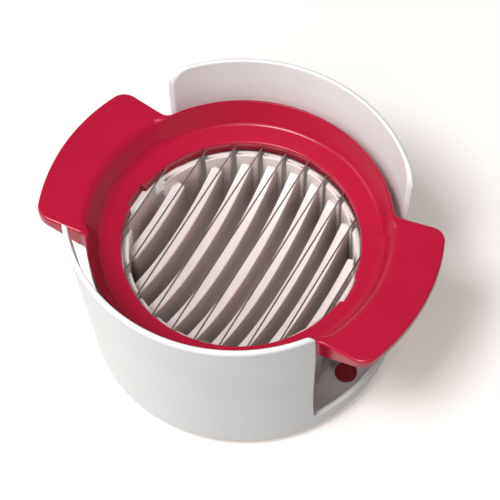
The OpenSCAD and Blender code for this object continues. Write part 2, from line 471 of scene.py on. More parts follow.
@dataclass(frozen=True)
class MouldedPlastic(Finish):
    """Moulded plastic: faint clouds of tone, fine orange peel and a satin gloss."""

    colour: Triple
    deep: Triple
    roughness: float
    clouds: Pattern = Pattern(18.0, 3.0)
    grain: Pattern = Pattern(0.35, 1.0)
    grain_share: float = 0.25
    tone_span: Pair = (0.38, 0.66)
    cloud_matt: float = 0.05
    scuffs: Pattern = Pattern(2.2, 4.0, (1.0, 1.0, 0.35))
    scuff_span: Pair = (0.5, 0.72)
    scuff_matt: float = 0.02
    peel: Pattern = Pattern(0.9)
    peel_depth: float = 0.012
    fine: Pattern = Pattern(0.25, 1.0)
    fine_share: float = 0.25
    refraction: float = 1.5
    specular: float = 0.5
    subsurface: float = 0.0
    glow: Triple = (1.0, 0.5, 0.4)
    glow_mm: float = 2.0

    def shader(self, tree: Tree) -> Term:
        """The shader of the plastic.

        Args:
            tree: Where its nodes go.

        Returns:
            The shader's output.
        """
        clouds = tree.noise(self.clouds)
        grain = tree.noise(self.grain)
        tone = clouds * (1.0 - self.grain_share) + grain * self.grain_share
        scuffs = tree.noise(self.scuffs).step(*self.scuff_span)
        matt = (clouds - 0.5) * self.cloud_matt + scuffs * self.scuff_matt
        peel = tree.noise(self.peel) + tree.noise(self.fine) * self.fine_share
        return tree.node(
            "ShaderNodeBsdfPrincipled",
            Base_Color=tree.mix(tone.step(*self.tone_span), self.colour, self.deep),
            Roughness=self.roughness + matt,
            Normal=tree.bump(peel, 1.0, self.peel_depth),
            IOR=self.refraction,
            Specular_IOR_Level=self.specular,
            Subsurface_Weight=self.subsurface,
            Subsurface_Radius=self.glow,
            Subsurface_Scale=self.glow_mm * MM,
        )


@dataclass(frozen=True)
class DrawnSteel(Finish):
    """Stainless wire: bright metal with fine drawing lines along Y."""

    name: str = "wire_steel"
    colour: Triple = (0.56, 0.56, 0.57)
    deep: Triple = (0.40, 0.40, 0.42)
    roughness: float = 0.22
    lines: Pattern = Pattern(0.06, 2.0, (1.0, 0.02, 1.0))
    line_share: float = 0.6
    line_matt: float = 0.12
    line_bump: float = 0.6
    line_depth: float = 0.01
    clouds: Pattern = Pattern(4.0)
    tone_span: Pair = (0.35, 0.68)

    def shader(self, tree: Tree) -> Term:
        """The shader of the steel.

        Args:
            tree: Where its nodes go.

        Returns:
            The shader's output.
        """
        lines = tree.noise(self.lines)
        clouds = tree.noise(self.clouds)
        tone = lines * self.line_share + clouds * (1.0 - self.line_share)
        return tree.node(
            "ShaderNodeBsdfPrincipled",
            Base_Color=tree.mix(tone.step(*self.tone_span), self.colour, self.deep),
            Metallic=1.0,
            Roughness=self.roughness + lines * self.line_matt,
            Normal=tree.bump(lines, self.line_bump, self.line_depth),
        )


@dataclass(frozen=True)
class SoftRubber(Finish):
    """Dark red rubber: matt, with a fine speckle and a dusty bloom."""

    name: str = "foot_rubber"
    colour: Triple = (0.30, 0.012, 0.03)
    dust: Triple = (0.36, 0.05, 0.07)
    roughness: float = 0.55
    speckle: Pattern = Pattern(0.3, 3.0)
    speckle_share: float = 0.2
    speckle_matt: float = 0.2
    speckle_depth: float = 0.05
    bloom: Pattern = Pattern(3.5, 3.0)
    bloom_share: float = 0.6
    bloom_span: Pair = (0.45, 0.75)
    specular: float = 0.4

    def shader(self, tree: Tree) -> Term:
        """The shader of the rubber.

        Args:
            tree: Where its nodes go.

        Returns:
            The shader's output.
        """
        speckle = tree.noise(self.speckle)
        bloom = tree.noise(self.bloom).step(*self.bloom_span)
        dusty = bloom * self.bloom_share + speckle * self.speckle_share
        return tree.node(
            "ShaderNodeBsdfPrincipled",
            Base_Color=tree.mix(dusty, self.colour, self.dust),
            Roughness=self.roughness + (speckle - 0.5) * self.speckle_matt,
            Normal=tree.bump(speckle, 1.0, self.speckle_depth),
            Specular_IOR_Level=self.specular,
        )


# --------------------------------------------------------------------- the cup


class Side(Enum):
    """The two ends of an axis."""

    PLUS = 1
    MINUS = -1


@dataclass
class Cup:
    """White cup: cone wall with two deep notches, rolled rim and rounded foot."""

    height: float = 62.0
    rim_r: float = 50.0
    base_r: float = 45.4
    wall: float = 1.6
    under_z: float = 1.0
    floor_z: float = 3.5
    edge_r: float = 4.0
    notch_floor: float = 10.0
    notch_low_half: float = 26.3
    notch_spread: float = 3.4
    front_r: float = 1.2
    back_r: float = 6.0
    low_r: float = 1.6
    rim_drop: float = 1.2
    rim_in: float = 1.1
    rim_extra: float = 0.15
    rim_from: float = 50.0
    rim_over: float = 11.0
    level_from: float = 0.2
    level_over: float = 0.6
    cut_round: float = 0.45
    plane_half: float = 4.0
    plane_fade: float = 9.0
    plane_rise: float = 2.5
    columns_mm: float = 1.1
    wall_rows: int = 18
    wall_span: Pair = (0.03, 0.97)
    wall_last: float = 0.995
    under_shares: Sequence[float] = (0.0, 0.3, 0.6, 0.8, 0.92, 0.98)
    floor_shares: Sequence[float] = (0.985, 0.9, 0.7, 0.4, 0.0)

    def outer_r(self, z: Numbers) -> Numbers:
        """Outside radius at height z: a straight cone from base_r to rim_r."""
        return self.base_r + (self.rim_r - self.base_r) * z / self.height

    def edge_path(self, top_r: float) -> Array:
        """Upper edge of a quarter of the wall, from a notch's middle to the wall's.

        Formula: in the plane of arc length s from the X axis and height z the
        edge is a level line at the notch floor, an arc, the leaning notch side,
        an arc, and the level rim; it is walked at even steps.

        Args:
            top_r: Rounding of the wall's top corner.

        Returns:
            Array of (angle from the X axis in radians, height, inward tangent
            along s, inward tangent along z, nearness to a notch, outside radius).
        """
        r_low = self.outer_r(self.notch_floor)
        s_low = r_low * np.arcsin(self.notch_low_half / r_low)
        half_top = self.notch_low_half + self.notch_spread
        s_top = self.rim_r * np.arcsin(half_top / self.rim_r)
        corners = [
            (0.0, self.notch_floor, 0.0),
            (s_low, self.notch_floor, self.low_r),
            (s_top, self.height, top_r),
            (0.5 * np.pi * self.rim_r, self.height, 0.0),
        ]
        path = rounded_path(corners, 10, 0.3)
        ahead = np.diff(path, axis=0)
        length = np.linalg.norm(ahead, axis=1)
        cuts = np.maximum(1, np.round(length / self.columns_mm)).astype(int)
        pieces = [
            start + chord * np.linspace(0.0, 1.0, count, endpoint=False)[:, None]
            for start, chord, count in zip(path, ahead, cuts)
        ]
        walk = np.vstack(pieces + [path[-1:]])
        s, z = walk.T
        tangent = np.gradient(walk, axis=0)
        tangent /= np.linalg.norm(tangent, axis=1, keepdims=True)
        lean = smooth((z - self.notch_floor) / (self.height - self.notch_floor))
        angle = s / (r_low + (self.rim_r - r_low) * lean)
        beyond = np.abs(s - 0.5 * (s_low + s_top)) - self.plane_half
        near = smooth(1.0 - np.maximum(beyond, 0.0) / self.plane_fade)
        inward = tangent[:, 1], -tangent[:, 0]
        return np.column_stack((angle, z, *inward, near, self.outer_r(z)))

    def surface_point(
        self, angle: Array, z: Array, depth: Numbers, near: Array
    ) -> Array:
        """Point under the wall's outside.

        Formula: the angle whose sine times the radius stays the same as the
        radius shrinks by the depth, so a notch side is a plane along X; away
        from the notches (near = 0) the angle itself stays the same.

        Args:
            angle: Angle from the X axis at the outside, 0 to 90 degrees in radians.
            z: Height.
            depth: Distance in from the outside.
            near: 1 beside a notch, 0 away from it.

        Returns:
            Array of points (x, y, z).
        """
        radius = self.outer_r(z)
        inner = radius - depth
        slid = np.arcsin(np.clip(radius * np.sin(angle) / inner, -1.0, 1.0))
        turned = angle + near * (slid - angle)
        return np.stack((inner * np.cos(turned), inner * np.sin(turned), z), axis=-1)

    def quarter(self, top_r: float) -> Array:
        """Grid of a quarter of the cup.

        Formula: each column runs from the axis under the floor, up the outside,
        over the edge, down the inside and back to the axis. The edge is rounded
        by cut_round, and more widely where it runs level above rim_from.

        Args:
            top_r: Rounding of the wall's top corner.

        Returns:
            Array of shape (rows, columns, 3) for x >= 0 and y >= 0.
        """
        angle, top, in_s, in_z, near, radius = self.edge_path(top_r).T
        level = smooth((np.abs(in_z) - self.level_from) / self.level_over)
        rim = smooth((top - self.rim_from) / self.rim_over) * level
        out_round = between((self.cut_round, self.rim_in), rim)
        drop = between((self.cut_round, self.rim_drop), rim)
        in_round = self.cut_round + self.rim_extra * rim
        in_round = np.minimum(in_round, self.wall - out_round)

        def flat(r: float, z: float) -> Array:
            """Row at one radius and height."""
            x, y = r * np.cos(angle), r * np.sin(angle)
            return np.stack((x, y, np.full_like(angle, z)), axis=-1)

        def at(inset: Array, depth: Array) -> Array:
            """Row inset from the edge along the wall, at a depth in its thickness."""
            turned = angle + inset * in_s / radius
            return self.surface_point(turned, top + inset * in_z, depth, near)

        def below(share: float, depth: float, low: float) -> Array:
            """Row of the flat of the wall, under the edge's rounding.

            Args:
                share: Share of the way up from the low line to the rounding.
                depth: 0 on the outside, the wall's thickness on the inside.
                low: Height of the low line.

            Returns:
                Array of points (x, y, z).
            """
            size = drop if depth == 0.0 else in_round
            turned = angle + size * in_s / radius * share
            z = low + (top + size * in_z - low) * share
            held = near * smooth(np.array(share * self.plane_rise))
            return self.surface_point(turned, z, depth, held)

        shares = np.append(np.linspace(*self.wall_span, self.wall_rows), self.wall_last)
        bend_z = self.under_z + self.edge_r
        flat_r = self.outer_r(bend_z) - self.edge_r
        in_edge = self.edge_r - 0.5 * self.wall
        low_in = self.floor_z + in_edge
        bend_r = self.outer_r(low_in) - self.wall - in_edge
        rows = [flat(flat_r * share, self.under_z) for share in self.under_shares]
        rows += [flat(*p) for p in arc((flat_r, bend_z), self.edge_r, -90.0, 0.0, 10)]
        rows += [below(share, 0.0, bend_z) for share in shares]
        rows += [at(drop * up, out_round * into) for into, up in quarter_turn(9)]
        rows += [
            at(in_round * into, self.wall - in_round * up)
            for into, up in quarter_turn(6)
        ]
        rows += [below(share, self.wall, low_in) for share in shares[::-1]]
        rows += [flat(*p) for p in arc((bend_r, low_in), in_edge, 0.0, -90.0, 8)]
        rows += [flat(bend_r * share, self.floor_z) for share in self.floor_shares]
        return np.stack(rows)

    def build(self, material: bpy.types.Material) -> bpy.types.Object:
        """Mirrors a front and a back quarter and closes them into the cup.

        Args:
            material: White plastic.

        Returns:
            The cup.
        """
        shell = Shell("cup_shell")
        for flip_y, top_r in ((Side.PLUS, self.back_r), (Side.MINUS, self.front_r)):
            part = self.quarter(top_r)
            for flip_x in Side:
                mirror = np.array([flip_x.value, flip_y.value, 1.0])
                shell.add(part * mirror, wrap_columns=False)
        piece = shell.build(material)
        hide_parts("cup")
        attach(piece, "base")
        return piece


# ------------------------------------------------------------------ the cradle


@dataclass
class Cradle:
    """Pale cradle: nine fins scooped out for the egg, in a slotted wall on a disc."""

    outer_r: float = 34.4
    wall: float = 1.8
    floor_z: float = 3.5
    disc_z: float = 5.5
    top_z: float = 36.4
    root: float = 0.4
    fins: int = 9
    pitch: float = 7.2
    fin_t: float = 3.0
    fin_round: float = 0.45
    fin_rows: int = 73
    slot_w: float = 1.3
    stave_points: int = 5
    stave_corner: float = 0.5
    stave_round: float = 0.3
    cheek_steps: int = 12
    cheek_cut: float = 3.5
    cheek_corner: float = 0.14
    cheek_round: float = 0.12
    hollow_z: float = 23.0
    hollow_r: float = 62.0
    hollow_rise: float = 11.0
    end_x: float = 36.0
    pegs: int = 3
    peg_r: float = 2.0
    peg_c: float = 20.64
    peg_low: float = 1.05
    peg_high: float = 4.2
    disc_columns: int = 192
    peg_columns: int = 40

    def hollow_top(self, x: Array, y: Array) -> Array:
        """Height of the scoop over (x, y).

        Formula: a barrel along X whose radius shrinks by a circular bow from
        hollow_r in the middle, hung so that its lowest point is at hollow_z.

        Args:
            x: Place along the wings' axis.
            y: Place along the wires.

        Returns:
            Heights of the fins' tops.
        """
        bow = (self.end_x**2 + self.hollow_rise**2) / (2.0 * self.hollow_rise)
        barrel = self.hollow_r - bow + np.sqrt(np.maximum(bow**2 - x**2, 0.0))
        fall = np.sqrt(np.maximum(barrel**2 - y**2, 1.0))
        return self.hollow_z + self.hollow_r - fall

    def fin(self, shell: Shell, x: float) -> None:
        """Adds one fin.

        Formula: a section with a rounded top is carried along Y, and its top
        follows the scoop.

        Args:
            shell: Where it goes.
            x: The fin's middle.
        """
        half, r = 0.5 * self.fin_t, self.fin_round
        reach = np.sqrt((self.outer_r - 0.5 * self.wall) ** 2 - (abs(x) + half) ** 2)
        y = np.linspace(-reach, reach, self.fin_rows)[:, None]
        into, down = quarter_turn(6).T
        left = np.append(r * into, r + SEAM) - half
        lift = np.append(-r * down, 0.0)
        across = np.concatenate((left, [0.0], -left[::-1]))
        top = self.hollow_top(x + across, y)
        top = top + np.concatenate((lift, [0.0], lift[::-1]))
        low = np.full_like(y, self.disc_z - self.root)
        z = np.hstack((low, top[:, :1] - SEAM, top, top[:, -1:] - SEAM, low))
        places = x + np.concatenate(([-half, -half], across, [half, half]))
        shell.add(capped(np.stack(np.broadcast_arrays(places, y, z), axis=-1)))

    def block(self, shell: Shell, corners: Corners, r: float) -> None:
        """Adds an upright block with a rounded outline and a rounded top edge.

        Formula: the outline is lifted along Z; near the top it moves in by
        r(1 - cos a) as it rises to r sin a, and closes on its middle.

        Args:
            shell: Where it goes.
            corners: (x, y, radius) of the outline, anticlockwise.
            r: Rounding of the top edge, no larger than the outline's radii.
        """
        low, high = self.disc_z - self.root, self.top_z
        loop = rounded_loop(corners, 4, 0.04)
        inward = -r * loop_normals(loop)
        levels = [(0.0, low), (0.0, high - r - SEAM)]
        levels += [(into, high - r * down) for into, down in quarter_turn(6)]
        rows = [
            np.column_stack((loop + inward * into, np.full(len(loop), z)))
            for into, z in levels
        ]
        middle = rows[-1][:, :2].mean(axis=0)
        foot, lid = (np.tile([*middle, z], (len(loop), 1)) for z in (low, high))
        shell.add(np.stack([foot, *rows, lid]))

    def stave(self, shell: Shell, x: float, side: Side) -> None:
        """Adds the piece of wall behind one fin's end, between two slots.

        Args:
            shell: Where it goes.
            x: The fin's middle.
            side: End of the fin.
        """
        half = 0.5 * (self.pitch - self.slot_w)
        xs = np.linspace(x - half, x + half, self.stave_points)
        outer, inner = (
            np.column_stack((xs, np.sqrt(radius**2 - xs**2)))
            for radius in (self.outer_r, self.outer_r - self.wall)
        )
        points = np.vstack((outer[::-1], inner))
        if side is Side.MINUS:
            points = points[::-1] * [1.0, -1.0]
        radii = np.zeros(len(points))
        radii[[0, self.stave_points - 1, self.stave_points, -1]] = self.stave_corner
        self.block(shell, np.column_stack((points, radii)), self.stave_round)

    def cheek(self, shell: Shell, side: Side) -> None:
        """Adds the narrow piece of wall outside the outermost slot.

        Args:
            shell: Where it goes.
            side: End of the X axis.
        """
        start = 0.5 * self.fins * self.pitch + 0.5 * self.slot_w
        reach = np.degrees(np.arccos(start / self.outer_r)) - self.cheek_cut
        rim = arc((0.0, 0.0), self.outer_r, -reach, reach, self.cheek_steps)
        points = np.vstack((rim, [start, rim[-1, 1]], [start, rim[0, 1]])) * side.value
        radii = np.zeros(len(points))
        radii[[0, -3, -2, -1]] = self.cheek_corner
        self.block(shell, np.column_stack((points, radii)), self.cheek_round)

    def build(self, material: bpy.types.Material) -> bpy.types.Object:
        """Puts disc, pegs, fins and wall together.

        Args:
            material: Pale plastic, whose pink tint is painted reflection of red light
                from the frame.

        Returns:
            The cradle.
        """
        shell = Shell("cradle_fins")
        disc = [
            (0.0, self.floor_z, 0.0),
            (self.outer_r, self.floor_z, 0.2),
            (self.outer_r, self.disc_z, 0.3),
            (0.0, self.disc_z, 0.0),
        ]
        shell.add(spin(rounded_path(disc), self.disc_columns))
        peg = [
            (0.0, self.peg_low, 0.0),
            (self.peg_r, self.peg_low, 0.3),
            (self.peg_r, self.peg_high, 0.0),
            (0.0, self.peg_high, 0.0),
        ]
        for number in range(self.pegs):
            place = polar(self.peg_c, 90.0 + 360.0 * number / self.pegs)
            shell.add(spin(rounded_path(peg), self.peg_columns) + place)
        for number in range(self.fins):
            x = (number - (self.fins - 1) / 2.0) * self.pitch
            self.fin(shell, x)
            for side in Side:
                self.stave(shell, x, side)
        for side in Side:
            self.cheek(shell, side)
        piece = shell.build(material)
        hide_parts("cradle")
        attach(piece, "base")
        return piece


# -------------------------------------------------------------------- the feet


@dataclass
class Feet:
    """Four rubber feet: pad below the floor, stem through it, low head inside."""

    count: int = 4
    circle: float = 37.97
    turn: float = -9.0
    pad_r: float = 3.5
    pad_h: float = 1.0
    stem_r: float = 2.0
    floor_z: float = 3.5
    head_r: float = 3.3
    head_h: float = 1.0
    columns: int = 56

    def build(self, material: bpy.types.Material) -> list[bpy.types.Object]:
        """Turns one profile for each foot.

        Args:
            material: Dark red rubber.

        Returns:
            The four feet.
        """
        top = self.floor_z + self.head_h
        profile = rounded_path(
            [
                (0.0, 0.0, 0.0),
                (self.pad_r, 0.0, 0.3),
                (self.pad_r, self.pad_h, 0.15),
                (self.stem_r, self.pad_h, 0.0),
                (self.stem_r, self.floor_z, 0.0),
                (self.head_r, self.floor_z, 0.1),
                (self.head_r, top, 0.45),
                (0.0, top, 0.0),
            ]
        )
        feet = []
        for number in range(self.count):
            place = polar(self.circle, self.turn + 360.0 * number / self.count)
            shell = Shell(f"rubber_foot_{number + 1}")
            shell.add(spin(profile, self.columns) + place)
            piece = shell.build(material)
            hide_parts(f"foot_{number + 1}")
            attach(piece, "base")
            feet.append(piece)
        return feet


# ------------------------------------------------------------------ the cutter


@dataclass
class CutterFrame:
    """Red frame: dished ring with a hole for the wires, and two skirted wings."""

    top_z: float = 49.0
    skirt_h: float = 7.0
    skirt_t: float = 2.0
    skirt_round: float = 0.35
    skirt_inner_round: float = 0.3
    plate_t: float = 2.0
    plate_in: float = 0.5
    plate_corner: Pair = (0.05, 0.08)
    top_round: float = 0.75
    overlap: float = 0.1
    ring_r: float = 44.256
    hole_r: float = 34.7
    hole_round: float = 0.5
    hole_lip: Triple = (1.6, 0.4, 0.4)
    bore_t: float = 2.0
    ledge_r: float = 40.656
    ledge_z: float = 41.6
    ledge_fall: float = 1.4
    ledge_round: Pair = (1.6, 5.0)
    slope_in: float = 0.9
    slope_round: Pair = (0.35, 3.55)
    slope_run: Pair = (0.3, 4.3)
    bottom_z: float = 36.2
    under_z: float = 38.9
    under_step: float = 0.6
    clamp_r: float = 41.656
    wing_r: float = 58.4
    wing_half: float = 24.6
    wing_from: float = 0.6
    wing_over: float = 12.0
    hollow_from: float = 0.4
    corner_r: float = 5.0
    flare: float = 5.5
    rise: float = 2.0
    bend_in: float = 4.0
    bend_ease: float = 3.0
    tip_h: float = 2.6
    join_r: float = 3.0
    notch_half: float = 4.0
    notch_deep: float = 0.8
    notch_ease: float = 0.35
    walk_mm: float = 0.5
    pegs_c: float = 39.228
    peg_columns: int = 28
    pegs: Sequence[float] = (0.0, 68.46, 111.54, 180.0, 248.46, 291.54)
    plate_shares: Sequence[float] = (0.12, 0.25, 0.4, 0.55, 0.7, 0.85, 1.0)
    hollow_shares: Sequence[float] = (0.0, 0.33, 0.67, 1.0)

    def outline(self) -> Array:
        """Plan of the whole frame, anticlockwise, at even steps.

        Formula: for a quarter, an arc about the axis for the wing's end, the
        corner's arc, the straight leaning flank, a small hollow arc whose middle
        lies one of its radii outside the flank's line and outside the ring, and
        the ring's circle; the other quarters are its mirror images.

        Returns:
            Array of shape (points, 2), closed without a doubled point.
        """
        cy = self.wing_half - self.corner_r
        cx = np.sqrt((self.wing_r - self.corner_r) ** 2 - cy**2)
        tip = np.degrees(np.arctan2(cy, cx))
        lean = np.radians(self.flare)
        out = np.array([-np.sin(lean), np.cos(lean)])
        along = np.array([np.cos(lean), np.sin(lean)])
        foot = np.array([cx, cy]) + out * (self.corner_r + self.join_r)
        back = foot @ along
        back -= np.sqrt(back**2 - foot @ foot + (self.ring_r + self.join_r) ** 2)
        hub = foot - along * back
        join = np.degrees(np.arctan2(hub[1], hub[0]))
        parts = [
            arc((0.0, 0.0), self.wing_r, 0.0, tip, 40),
            arc((cx, cy), self.corner_r, tip, 90.0 + self.flare, 20)[1:],
            arc(hub, self.join_r, 270.0 + self.flare, 180.0 + join, 8),
            arc((0.0, 0.0), self.ring_r, join, 90.0, 90)[1:],
        ]
        quarter = self._even(np.vstack(parts))
        half = np.vstack((quarter, (quarter * [-1.0, 1.0])[-2::-1]))
        return np.vstack((half, (half * [1.0, -1.0])[-2:0:-1]))

    def _even(self, path: Array) -> Array:
        """Spreads a path's points again at about walk_mm.

        Args:
            path: Shape (points, 2).

        Returns:
            Array of points at even steps, with the same ends.
        """
        length = np.linalg.norm(np.diff(path, axis=0), axis=1)
        run = np.append(0.0, np.cumsum(length))
        where = np.linspace(0.0, run[-1], int(round(run[-1] / self.walk_mm)) + 1)
        return np.column_stack([np.interp(where, run, line) for line in path.T])

    def height(self, x: Array) -> Array:
        """Height of the top at a distance x from the middle.

        Formula: level over the ring, then an even rise to the wing's tip, with
        a parabola of bend_ease mm half width in place of the kink.

        Args:
            x: Distances.

        Returns:
            Heights.
        """
        bend, ease = self.ring_r - self.bend_in, self.bend_ease
        run = np.abs(x) - bend
        eased = (run + ease) ** 2 / (4.0 * ease)
        eased = np.where(np.abs(run) < ease, eased, np.maximum(run, 0.0))
        return self.top_z + self.rise * eased / (self.wing_r - bend)

    def low(self, x: Array) -> Array:
        """Height of the skirt's lower edge at a distance x from the middle.

        Formula: the top's height less tip_h and less the rest of skirt_h times
        (1 - t)^2, where t runs from 0 at the ring to 1 at the wing's tip.

        Args:
            x: Distances.

        Returns:
            Heights.
        """
        bend = self.ring_r - self.bend_in
        t = np.clip((np.abs(x) - bend) / (self.wing_r - bend), 0.0, 1.0)
        rest = self.skirt_h - self.tip_h
        return self.height(x) - self.tip_h - rest * (1.0 - t) ** 2

    def ring_path(self, angle: Array, wing: Array) -> Array:
        """Radial profile of the dished ring, from the bore's foot to the slope's top.

        Formula: a polyline of the bore, the falling ledge and the steep slope
        with rounded corners; beside a wing the slope's top is round and wide,
        elsewhere it is nearly sharp. The bore is cut back to a plane in a
        shallow notch at each wing.

        Args:
            angle: Angle of each column, in radians.
            wing: 1 where the column ends in a wing, 0 on the bare ring.

        Returns:
            Array of (r, z) of shape (columns, points, 2).
        """
        least_cos = 0.2
        across = np.abs(np.sin(angle)) * self.hole_r
        plane = np.maximum(np.abs(np.cos(angle)), least_cos)
        plane = (self.hole_r + self.notch_deep) / plane
        inside = 1.0 - smooth((across - self.notch_half) / self.notch_ease)
        hole = self.hole_r + (plane - self.hole_r) * inside
        hole_z = self.ledge_z - self.ledge_fall
        lip_w, lip_h, lip_round = self.hole_lip
        slope = self.ring_r - self.slope_in * (1.0 - wing)
        corners = [
            (hole, self.bottom_z, 0.0),
            (hole, hole_z, self.hole_round),
            (self.hole_r + lip_w, hole_z + lip_h, lip_round),
            (self.ledge_r, self.ledge_z, between(self.ledge_round, wing)),
            (slope, self.top_z, between(self.slope_round, wing)),
            (slope + between(self.slope_run, wing), self.top_z, 0.0),
        ]
        table = [np.stack(np.broadcast_arrays(wing, *c)[1:], -1) for c in corners]
        grid = np.stack(table, axis=1)
        return rounded(grid[..., :2], grid[..., 2], 8, 0.08)[:, :-1]

    def body(self) -> Array:
        """Grid of the whole frame; each column is one closed section.

        Formula: the columns stand along the outline. Each goes up the bore and
        the dished ring, over the plate, round the rim and the skirt's edge,
        into the hollow of a wing where there is one, and back under the ring.

        Returns:
            Array of shape (rows, columns, 3).
        """
        line = self.outline()
        normal = loop_normals(line)
        radius = np.linalg.norm(line, axis=1)
        unit = line / radius[:, None]
        wing = smooth((radius - self.ring_r - self.wing_from) / self.wing_over)
        rows: list[Array] = []

        def on_ring(r: Numbers, z: Numbers) -> Array:
            """Row at radius r along each column's direction."""
            flat = unit * np.reshape(r, (-1, 1))
            return np.column_stack((flat, np.broadcast_to(z, radius.shape)))

        def from_top(inset: float, rise: float) -> Array:
            """Row inset from the outline, so far over the top's height."""
            flat = line - normal * inset
            return np.column_stack((flat, self.height(flat[:, 0]) + rise))

        def from_low(inset: float, rise: float) -> Array:
            """Row inset from the outline, on the skirt.

            Args:
                inset: Distance in from the outline.
                rise: Height over the skirt's edge.

            Returns:
                Array of points, none of them higher than the plate's underside.
            """
            flat = line - normal * inset
            plate = self.height(flat[:, 0]) - self.plate_t - self.overlap
            z = np.minimum(self.low(flat[:, 0]) + rise, plate)
            return np.column_stack((flat, z))

        def across(start: Array, end: Array, share: float, drop: float) -> Array:
            """Row between two rows, along the plate.

            Args:
                start: First row.
                end: Last row.
                share: Share of the way from start to end.
                drop: Depth under the plate's top.

            Returns:
                Array of points.
            """
            row = start + (end - start) * share
            row[:, 2] = self.height(row[:, 0]) - drop
            return row

        ring = self.ring_path(np.arctan2(line[:, 1], line[:, 0]), wing)
        for r, z in np.moveaxis(ring, 0, -1):
            row = on_ring(r, z)
            lift = smooth((z - self.ledge_z) / (self.top_z - self.ledge_z))
            row[:, 2] += lift * (self.height(row[:, 0]) - self.top_z)
            rows.append(row)
        edge, foot = self.top_round, self.skirt_round
        start, end = rows[-1], from_top(edge + SEAM, 0.0)
        rows += [across(start, end, share, 0.0) for share in self.plate_shares]
        rows += [from_top(edge * i, -edge * d) for i, d in quarter_turn(8)[::-1]]
        rows.append(from_top(0.0, -edge - SEAM))
        rows.append(from_low(0.0, foot + SEAM))
        rows += [from_low(foot * into, foot * up) for into, up in quarter_turn(5)]

        last = rows[-1]
        hollow = np.linalg.norm(line - normal * self.skirt_t, axis=1)
        is_open = (hollow > self.ring_r + self.hollow_from)[:, None]
        inner_r = self.ring_r - self.overlap
        corner = self.skirt_inner_round
        deep = from_top(self.skirt_t + self.plate_in, -self.plate_t)
        root = on_ring(inner_r + self.plate_in, self.top_z)
        skirt_z = self.top_z - self.skirt_h
        corner_in, corner_low = self.plate_corner
        inside = [
            from_low(self.skirt_t - corner, 0.0),
            from_low(self.skirt_t, corner),
            from_top(self.skirt_t + corner_in, -self.plate_t - corner_low),
            *(across(deep, root, share, self.plate_t) for share in self.hollow_shares),
            on_ring(inner_r, self.top_z - self.plate_t),
            on_ring(inner_r, skirt_z + self.overlap),
        ]
        rows += [np.where(is_open, row, last) for row in inside]
        under = [
            (self.ring_r - self.under_step, skirt_z - self.under_step, 0.0),
            (self.clamp_r, self.under_z, 0.3),
            (self.hole_r + self.bore_t, self.under_z, 0.2),
            (self.hole_r + self.bore_t, self.bottom_z, 0.0),
        ]
        rows += [on_ring(*point) for point in rounded_path(under, 3)]
        return np.stack(rows)

    def stakes(self, shell: Shell) -> None:
        """Adds the melted heads of the pegs that hold the clamp ring, as low domes.

        Args:
            shell: Where they go.
        """
        heights = [
            (0.0, 0.4, 0.0),
            (1.0, 0.4, 0.0),
            (1.3, 0.0, 0.0),
            (1.2, -0.12, 0.1),
            (0.7, -0.28, 0.5),
            (0.0, -0.28, 0.0),
        ]
        dome = rounded_path([(r, self.bottom_z + z, bend) for r, z, bend in heights])
        for turn in self.pegs:
            shell.add(spin(dome, self.peg_columns) + polar(self.pegs_c, turn))

    def build(self, material: bpy.types.Material) -> bpy.types.Object:
        """Makes the frame.

        Args:
            material: Red plastic.

        Returns:
            The cutter's frame.
        """
        shell = Shell("cutter_body")
        shell.add(self.body(), wrap_rows=True)
        self.stakes(shell)
        piece = shell.build(material)
        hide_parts("cutter_frame")
        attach(piece, "cutter")
        return piece


@dataclass
class ClampRing:
    """Red ring under the frame that holds the wires' bent ends."""

    inner_r: float = 36.8
    outer_r: float = 41.656
    low: float = 36.2
    high: float = 38.35
    columns: int = 256

    def build(self, material: bpy.types.Material) -> bpy.types.Object:
        """Turns a rounded section about the axis.

        Args:
            material: Red plastic.

        Returns:
            The ring.
        """
        section = [
            (self.inner_r, self.low, 0.25),
            (self.outer_r, self.low, 0.5),
            (self.outer_r, self.high, 0.2),
            (self.inner_r, self.high, 0.2),
        ]
        shell = Shell("wire_clamp")
        shell.add(spin(rounded_loop(section), self.columns), wrap_rows=True)
        piece = shell.build(material)
        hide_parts("clamp_ring")
        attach(piece, "cutter")
        return piece


